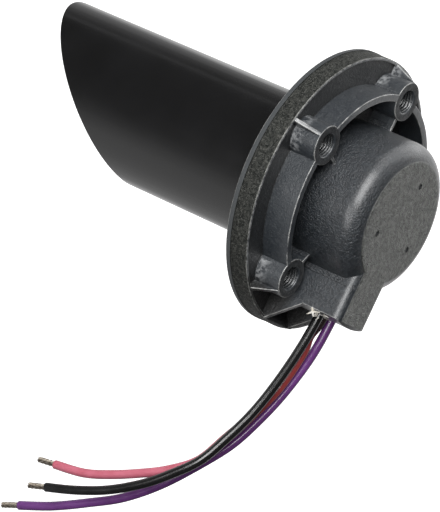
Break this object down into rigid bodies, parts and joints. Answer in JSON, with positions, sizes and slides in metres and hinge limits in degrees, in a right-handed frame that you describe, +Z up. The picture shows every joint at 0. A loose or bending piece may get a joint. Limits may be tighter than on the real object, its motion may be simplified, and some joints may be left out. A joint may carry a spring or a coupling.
{
  "type": "tank level sender",
  "caption": "Echo-sounding tank level sender: domed head on a keyed bolt flange, with a slant-cut sound tube below and three short wire leads.",
  "frame": {"origin": "centre of the flange's mounting face, on the axis of the tube and the bolt circle", "axes": "+Z up, out of the tank towards the dome; +X towards the lead exit; the pictured side is -Y; the tube hangs towards -Z"},
  "size_m": [0.1405, 0.07, 0.1089],
  "materials": {
    "head_plastic": "moulded glass-filled plastic, satin with a fine grain",
    "tube_plastic": "smooth satin black plastic",
    "sealant": "cured off-white sealant",
    "seal_rubber": "soft black rubber",
    "cup_plastic": "ivory plastic",
    "front_epoxy": "pale filled epoxy",
    "ceramic": "fired ceramic",
    "foam_rubber": "grey foam rubber",
    "backing_epoxy": "brown filled epoxy",
    "black_epoxy": "black potting epoxy",
    "red_sleeve": "red wire sleeve",
    "board_laminate": "green board laminate",
    "terminal_plastic": "green terminal plastic",
    "chip_plastic": "black chip plastic",
    "ferrite": "dark grey ferrite",
    "can_metal": "drawn metal can",
    "lead_red_sleeve": "pink-red wire sleeve",
    "lead_black_sleeve": "black wire sleeve",
    "lead_purple_sleeve": "purple wire sleeve",
    "tinned_wire": "dull tinned copper strands"
  },
  "bodies": {
    "root": {"head_moulding": "head_plastic", "focus_tube": "tube_plastic", "tube_adhesive": "sealant", "cup_seal": "seal_rubber", "sensor_cup": "cup_plastic", "front_layer": "front_epoxy", "sounding_disc": "ceramic", "damping_ring": "foam_rubber", "backing_puck": "backing_epoxy", "sealing_compound": "black_epoxy", "sensor_wires": "red_sleeve", "temperature_probe": "black_epoxy", "circuit_board": "board_laminate", "wire_terminal": "terminal_plastic", "processor_chip": "chip_plastic", "driver_chip": "chip_plastic", "pulse_transformer": "ferrite", "storage_capacitor": "can_metal", "timing_can": "can_metal", "protection_diodes": "chip_plastic", "chip_resistors": "ceramic", "exit_sealant": "sealant", "lead_red": "lead_red_sleeve", "lead_black": "lead_black_sleeve", "lead_purple": "lead_purple_sleeve", "tip_red": "tinned_wire", "tip_black": "tinned_wire", "tip_purple": "tinned_wire"}
  },
  "joints": []
}
